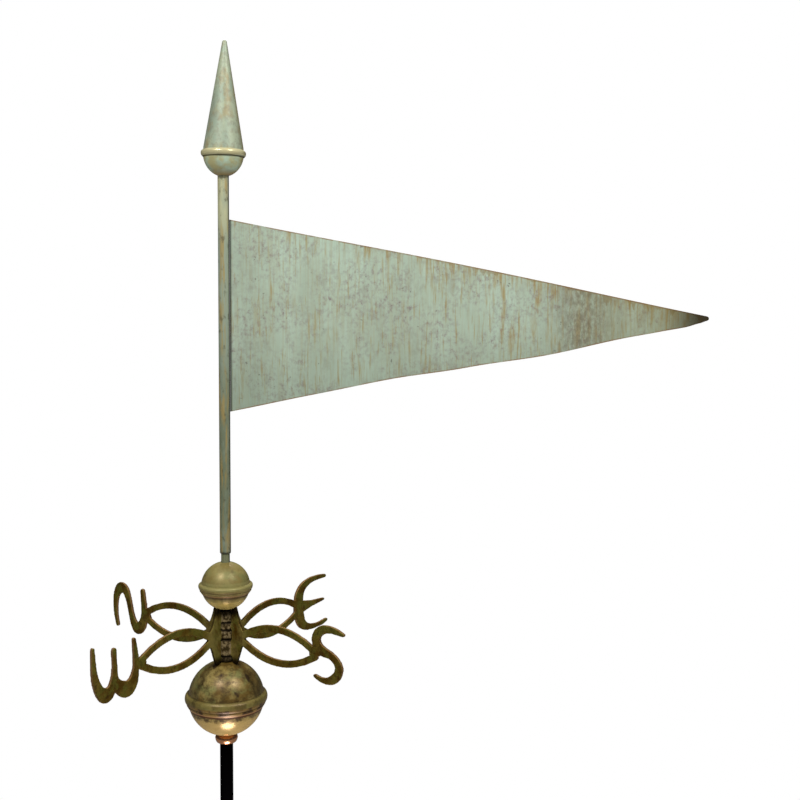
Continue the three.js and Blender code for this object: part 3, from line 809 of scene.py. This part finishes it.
def aged_copper(name, seam_z, rise, drop, tones, spotting_and_shade, dullness):
    """Spun copper gone olive and brown: a dull patina above the seam, brassier below it. Painted shade
    darkens the sides, the band under the bead and the fold, crease and gap lines; a painted rim light reddens
    the outline and a painted highlight brightens the skirt's lip.

    seam_z, rise and drop are in millimetres. spotting_and_shade is the strength of the dark marks and of the
    painted shade at the sides, at the fold and in the gap, and dullness is the patina's least roughness.
    """
    paint = Paint(name, gloss=0.7, gloss_tint=(1.0, 0.74, 0.60))
    height = paint.minus(paint.axis("Z"), seam_z * MM)
    cloud = paint.noise((26.0, 26.0, 26.0), 5.0, 0.65)
    green = paint.noise((40.0, 40.0, 52.0), 4.0, 0.6, shift=14.0)
    spots = paint.noise((62.0, 62.0, 62.0), 8.0, 0.82, shift=4.0)
    few = paint.noise((46.0, 46.0, 46.0), 2.0, 0.5, shift=37.0)
    blot = paint.noise((60.0, 60.0, 30.0), 4.0, 0.6, shift=71.0)

    moss = (0.23, 0.25, 0.08)
    spot = (0.05, 0.030, 0.004)
    pit = (0.025, 0.012, 0.004)
    painted_globe_side_shade = (0.06, 0.038, 0.006)
    below = paint.step(height, -0.012, -0.022)
    bare = paint.mix(paint.step(spots, 0.50, 0.72, 0.40), tones["under"], tones["brown"])
    paint.coat = paint.mix(paint.step(cloud, 0.40, 0.60), tones["brown"], tones["olive"])
    paint.over(paint.step(green, 0.44, 0.62, 0.7), moss)
    paint.over(paint.step(spots, 0.42, 0.64, spotting_and_shade), spot)
    paint.over(paint.step(few, 0.63, 0.68, spotting_and_shade), pit)
    # Painted shade: the globe darkens where it faces the sides.
    paint.over(paint.times(paint.step(paint.flank(), 0.14, 0.60), spotting_and_shade * 0.85), painted_globe_side_shade)
    # Below the seam, brassier bare metal; on the small globe its bright tone is also a painted highlight.
    paint.over(below, bare)

    under_skirt = paint.step(paint.off(height, -drop * 1.25 * MM), 0.009, 0.003)
    under_skirt_brown = (0.05, 0.03, 0.008)
    on_bead = paint.times(paint.step(height, -0.002, 0.0), paint.step(height, 0.010, 0.008, 0.6))
    above_lip = paint.step(height, -(drop + 0.5) * MM, -(drop - 0.5) * MM)
    on_skirt = paint.times(paint.step(height, 0.0, -0.0015), above_lip)
    skirt_shade_and_mottle = paint.mix(paint.step(blot, 0.42, 0.58), tones["skirt_dark"], tones["skirt_light"])
    paint.over(paint.times(under_skirt, paint.step(spots, 0.42, 0.58, spotting_and_shade)), under_skirt_brown)
    paint.over(on_bead, tones["bead"])
    # Painted shade with mottling: from the bead's widest part down to the lip, where the bead's under-slope
    # is in shadow, the band is painted darker.
    paint.over(paint.times(on_skirt, 0.95), skirt_shade_and_mottle)

    rim_stain = (0.08, 0.05, 0.012)
    fold_shadow = (0.05, 0.035, 0.008)
    crease_shadow = (0.06, 0.04, 0.01)
    lip_copper_and_highlight = (0.50, 0.27, 0.10)
    gap_shadow = (0.09, 0.030, 0.008)
    painted_rim_light = (0.22, 0.095, 0.03)
    on_rim = paint.step(paint.off(height, 0.001), 0.0075, 0.004)
    from_crease = paint.off(height, -drop * CREASE_SHARE * MM)
    from_lip = paint.off(height, -(drop - 1.6) * MM)
    from_gap = paint.off(height, -(drop + 0.9) * MM)
    paint.over(paint.times(on_rim, paint.step(blot, 0.56, 0.68, spotting_and_shade * 0.6)), rim_stain)
    paint.over(paint.step(paint.off(height, rise * MM), 0.0012, 0.0003, 0.6 * spotting_and_shade), fold_shadow)
    paint.over(paint.step(from_crease, 0.0011, 0.0003, 0.45), crease_shadow)
    # The skirt's copper lip, painted brighter as a highlight.
    paint.over(paint.step(from_lip, 0.0015, 0.0004, 0.65), lip_copper_and_highlight)
    paint.over(paint.step(from_gap, 0.0024, 0.0010, 0.4 + 0.5 * spotting_and_shade), gap_shadow)
    # Painted light: a reddish copper rim where the globe faces the sides.
    paint.over(paint.step(paint.flank(), 0.70, 0.96, 0.6), painted_rim_light)

    bare_roughness = 0.26
    dull = paint.plus(paint.step(spots, 0.45, 0.70, 0.16), dullness)
    paint.metallic(paint.plus(paint.times(below, 0.12), 0.12))
    paint.roughness(paint.minus(dull, paint.times(below, paint.minus(dull, bare_roughness))))
    paint.bump(cloud, 0.05, 0.0005)
    return paint.painted()


def cast_brass():
    """Cast brass gone olive-brown, with moss-coloured patches, worn side walls and a lumpy hub; painted shade
    darkens the fins' edges, and painted shadow the hub's ends and the gaps between its knuckles.
    """
    paint = Paint("cast_brass", 0.35, 0.5, gloss=0.12, gloss_tint=(1.0, 0.78, 0.5))
    side = paint.attribute("side")
    hub = paint.attribute("hub")
    knuckle = paint.attribute("knuckle")
    height = paint.axis("Z")
    cloud = paint.noise((42.0, 42.0, 30.0), 5.0, 0.62)
    green = paint.noise((58.0, 58.0, 58.0), 4.0, 0.6, shift=8.0)
    dark = paint.noise((120.0, 120.0, 120.0), 5.0, 0.65, shift=3.0)
    rough = paint.noise((150.0, 150.0, 150.0), 4.0, 0.65, shift=21.0)

    brown = (0.095, 0.05, 0.004)
    olive = (0.18, 0.13, 0.02)
    moss = (0.135, 0.135, 0.020)
    dark_brown = (0.035, 0.018, 0.005)
    paint.coat = paint.mix(paint.step(cloud, 0.38, 0.64), brown, olive)
    paint.over(paint.step(green, 0.46, 0.60, 0.7), moss)
    paint.over(paint.step(dark, 0.50, 0.66, 0.55), dark_brown)

    worn_wall = (0.30, 0.165, 0.075)
    painted_fin_edge_shade = (0.055, 0.035, 0.010)
    pale_fin_patches = (0.30, 0.24, 0.07)
    fin_face = paint.times(paint.step(side, 0.60, 0.20, 0.7), hub)
    paint.over(paint.times(paint.step(side, 0.30, 0.85, 0.75), paint.minus(1.0, hub)), worn_wall)
    # Painted shade: the fins' edge walls near the hub are darkened.
    paint.over(paint.times(paint.step(side, 0.30, 0.85, 0.85), hub), painted_fin_edge_shade)
    # Lighter olive patches on the fins' faces near the hub.
    paint.over(paint.times(fin_face, paint.step(cloud, 0.34, 0.60)), pale_fin_patches)

    knuckle_dark = (0.04, 0.024, 0.008)
    knuckle_light = (0.36, 0.27, 0.14)
    painted_hub_end_shadow = (0.008, 0.005, 0.002)
    gap_shadow = (0.012, 0.008, 0.004)
    knuckle_tone = paint.mix(paint.step(rough, 0.40, 0.58), knuckle_dark, knuckle_light)
    from_middle = paint.off(height, HUB_MIDDLE_Z * MM)
    ends = paint.step(from_middle, HUB_HALF * 0.66 * MM, HUB_HALF * 0.98 * MM, 0.95)
    paint.over(paint.times(knuckle, 0.9), knuckle_tone)
    # Painted shadow: the hub's ends, under the small globe and above the large one, go near black.
    paint.over(paint.times(ends, hub), painted_hub_end_shadow)
    for gap in knuckle_gaps():
        ragged = paint.plus(paint.off(height, gap * MM), paint.times(rough, 0.003))
        paint.over(paint.times(paint.step(ragged, 0.0046, 0.0026, 0.95), knuckle), gap_shadow)
    paint.bump(dark, 0.2, 0.0008)
    return paint.painted()


def bright_copper():
    """Polished copper, with a painted shadow of the globe along the collar's upper edge."""
    paint = Paint("bright_copper", 1.0, 0.22)
    copper = (0.96, 0.46, 0.22)
    # Painted shadow: the collar's upper part, just under the large globe, is darkened.
    painted_globe_shadow = (0.22, 0.06, 0.018)
    shadow_from = COLLAR_BOTTOM + (COLLAR_TOP - COLLAR_BOTTOM) * 0.60
    shade = paint.step(paint.axis("Z"), shadow_from * MM, (COLLAR_TOP - 0.5) * MM, 0.85)
    paint.coat = paint.mix(shade, copper, painted_globe_shadow)
    return paint.painted()


def black_steel():
    """Black paint on the post; the spindle's bare end under the tube has greened, with painted shade on its
    sides.
    """
    paint = Paint("black_steel", roughness=0.7, gloss=0.0)
    black = (0.0008, 0.0007, 0.0008)
    bare_green = (0.21, 0.225, 0.13)
    painted_spindle_side_shade = (0.03, 0.03, 0.015)
    # Painted shade: the spindle's bare end darkens where it faces the sides.
    bare = paint.mix(paint.step(paint.flank(), 0.30, 0.80, 0.85), bare_green, painted_spindle_side_shade)
    paint.coat = paint.mix(paint.step(paint.axis("Z"), 0.400, 0.424), black, bare)
    return paint.painted()


# The pieces

as_piece(mast_rod(), "mast_rod_dressed", "mast", ["mast_rod"], black_steel())
as_piece(collar(), "copper_collar_dressed", "mast", ["copper_collar"], bright_copper())

large_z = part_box("large_globe_upper")[0].z / MM + LARGE["drop"]
small_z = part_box("small_globe_upper")[0].z / MM + SMALL["drop"]
for label, seam_z, sizes, tones, spotting_and_shade, dullness in (
    ("large", large_z, LARGE, LARGE_TONES, 0.9, 0.37),
    ("small", small_z, SMALL, SMALL_TONES, 0.25, 0.42),
):
    rise = sizes["rise"]
    drop = sizes["drop"]
    paint = aged_copper(f"aged_copper_{label}", seam_z, rise, drop, tones, spotting_and_shade, dullness)
    for half, profile in zip(("upper", "lower"), globe_halves(**sizes)):
        node = f"{label}_globe_{half}"
        mesh = turned(moved(profile, height=seam_z), GLOBE_SEGMENTS)
        as_piece(mesh, node + "_dressed", "mast", [node], paint, 50)

brass = cast_brass()
for node, turn in (
    ("directional_east_west", COMPASS_TURN),
    ("directional_north_south", COMPASS_TURN + math.pi / 2),
):
    as_piece(cast_plate(node, turn), node + "_dressed", "mast", [node], brass, 60)

as_piece(vane_tube(), "vane_tube_dressed", "vane", ["vane_tube"], verdigris_tube())
as_piece(pennant(), "pennant_dressed", "vane", ["pennant"], verdigris_sheet())

finial_paint = verdigris_finial()
for node, mesh in (("finial_bowl", finial_bowl()), ("finial_cone", finial_cone())):
    as_piece(mesh, node + "_dressed", "vane", [node], finial_paint, 40)


# Stage: a pale floor and background that look white to the camera and dimmer in reflections

FILL = 0.24
DIM_FILL = 0.06
FLOOR_GREY = 0.45
DIM_FLOOR = 0.22
FLOOR_REACH = 12.0


def by_ray(tree, plain, reflected, direct, output):
    """One shader for most rays, one for what shiny surfaces reflect and one for what the camera sees."""
    rays = tree.nodes.new("ShaderNodeLightPath")
    inner = tree.nodes.new("ShaderNodeMixShader")
    outer = tree.nodes.new("ShaderNodeMixShader")
    tree.links.new(rays.outputs["Is Glossy Ray"], inner.inputs[0])
    tree.links.new(plain, inner.inputs[1])
    tree.links.new(reflected, inner.inputs[2])
    tree.links.new(rays.outputs["Is Camera Ray"], outer.inputs[0])
    tree.links.new(inner.outputs[0], outer.inputs[1])
    tree.links.new(direct, outer.inputs[2])
    tree.links.new(outer.outputs[0], output.inputs["Surface"])


def stage_floor():
    corners = [(x * FLOOR_REACH, y * FLOOR_REACH, 0) for x, y in ((-1, -1), (1, -1), (1, 1), (-1, 1))]
    mesh = bpy.data.meshes.new("floor")
    mesh.from_pydata(corners, [], [(0, 1, 2, 3)])
    floor = bpy.data.objects.new("floor", mesh)
    bpy.context.scene.collection.objects.link(floor)
    material = bpy.data.materials.new("pale_floor")
    material.use_nodes = True
    tree = material.node_tree
    shader = tree.nodes["Principled BSDF"]
    shader.inputs["Base Color"].default_value = (FLOOR_GREY, FLOOR_GREY, FLOOR_GREY, 1)
    shader.inputs["Roughness"].default_value = 0.9
    white = tree.nodes.new("ShaderNodeEmission")
    dim = tree.nodes.new("ShaderNodeBsdfDiffuse")
    dim.inputs["Color"].default_value = (DIM_FLOOR, DIM_FLOOR, DIM_FLOOR, 1)
    by_ray(tree, shader.outputs[0], dim.outputs[0], white.outputs[0], tree.nodes["Material Output"])
    mesh.materials.append(material)


def studio_background():
    world = bpy.data.worlds.new("studio")
    bpy.context.scene.world = world
    world.use_nodes = True
    tree = world.node_tree
    backdrop = tree.nodes["Background"]
    backdrop.inputs["Color"].default_value = (1, 1, 1, 1)
    backdrop.inputs["Strength"].default_value = 1.0
    fills = []
    for strength in (FILL, DIM_FILL):
        fill = tree.nodes.new("ShaderNodeBackground")
        fill.inputs["Color"].default_value = (1, 1, 1, 1)
        fill.inputs["Strength"].default_value = strength
        fills.append(fill.outputs[0])
    by_ray(tree, *fills, backdrop.outputs[0], tree.nodes["World Output"])


def soft_light(name, place, target, size, watts, colour=(1, 1, 1)):
    """A round area light at a place, turned to a target; both, and its size, are in metres."""
    data = bpy.data.lights.new(name, "AREA")
    data.shape = "DISK"
    data.size = size
    data.energy = watts
    data.color = colour
    light = bpy.data.objects.new(name, data)
    bpy.context.scene.collection.objects.link(light)
    light.location = place
    light.rotation_euler = (Vector(target) - Vector(place)).to_track_quat("-Z", "Y").to_euler()


stage_floor()
studio_background()
soft_light("left_soft_light", (-0.60, -1.35, 2.4), (0.1, 0, 0.6), 0.30, 28)
soft_light("right_soft_light", (1.25, -1.05, 2.4), (0.1, 0, 0.6), 0.30, 28)
soft_light("back_soft_light", (-0.10, 1.60, 2.5), (0.2, 0, 0.7), 0.60, 20)
soft_light("low_light", (0.026, -0.092, 0.012), (0, -0.02, 0.4), 0.10, 0.33, (1, 0.86, 0.84))


# Camera, where the photograph was taken from; its place is in metres

CAMERA_PLACE = Vector((0.251, -1.658, 0.800))
PITCH = math.radians(4.71)
ROLL = math.radians(0.37)
SENSOR = 36.0
FOCAL_PIXELS = 1163
PHOTO_WIDTH = 800

lens = bpy.data.cameras.new("camera")
lens.sensor_width = SENSOR
lens.lens = SENSOR * FOCAL_PIXELS / PHOTO_WIDTH
camera = bpy.data.objects.new("camera", lens)
bpy.context.scene.collection.objects.link(camera)
forward = Vector((0, math.cos(PITCH), -math.sin(PITCH)))
level_up = Vector((0, math.sin(PITCH), math.cos(PITCH)))
level_right = Vector((1, 0, 0))
right = level_right * math.cos(ROLL) + level_up * math.sin(ROLL)
up = level_up * math.cos(ROLL) - level_right * math.sin(ROLL)
facing = Matrix((right, up, -forward)).transposed().to_4x4()
camera.matrix_world = Matrix.Translation(CAMERA_PLACE) @ facing
bpy.context.scene.camera = camera
bpy.context.scene.view_settings.view_transform = "Standard"
